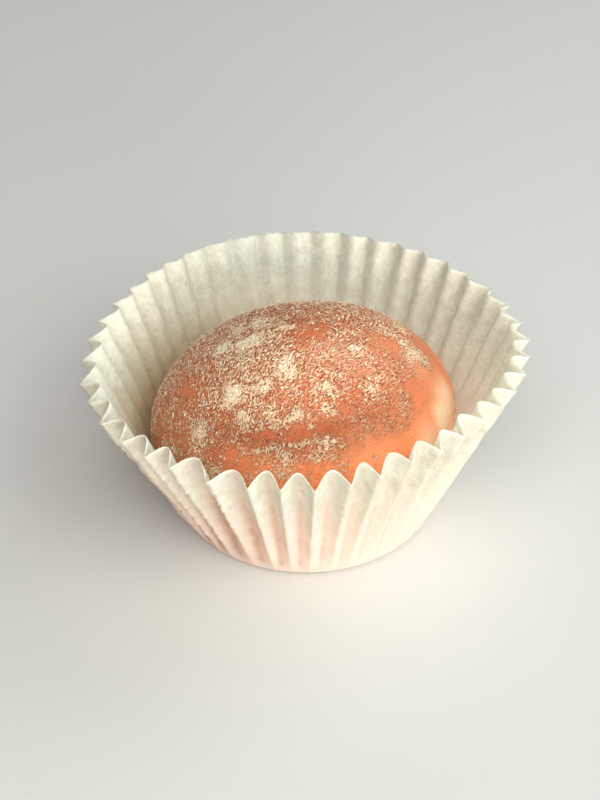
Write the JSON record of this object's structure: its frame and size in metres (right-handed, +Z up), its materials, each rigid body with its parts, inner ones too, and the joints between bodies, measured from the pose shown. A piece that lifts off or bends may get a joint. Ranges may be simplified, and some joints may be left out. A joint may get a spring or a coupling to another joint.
{
  "type": "mochi rice cake",
  "caption": "Round soft rice cake dusted with starch, standing in a flared and fluted paper case with a flat base.",
  "frame": {"origin": "centre of the paper case's flat underside", "axes": "+Z up through the case's mouth, -Y towards the side shown in the picture, +X to the right seen from there"},
  "size_m": [0.0835, 0.0854, 0.0391],
  "materials": {
    "rice_cake": "soft satin skin, salmon orange and slightly see-through",
    "starch": "dry matt powder, cream white",
    "paper": "thin greaseproof paper, off-white, matt with a faint sheen, lets some light through"
  },
  "bodies": {
    "root": {"mochi": "rice_cake", "paper_case": "paper"}
  },
  "joints": []
}
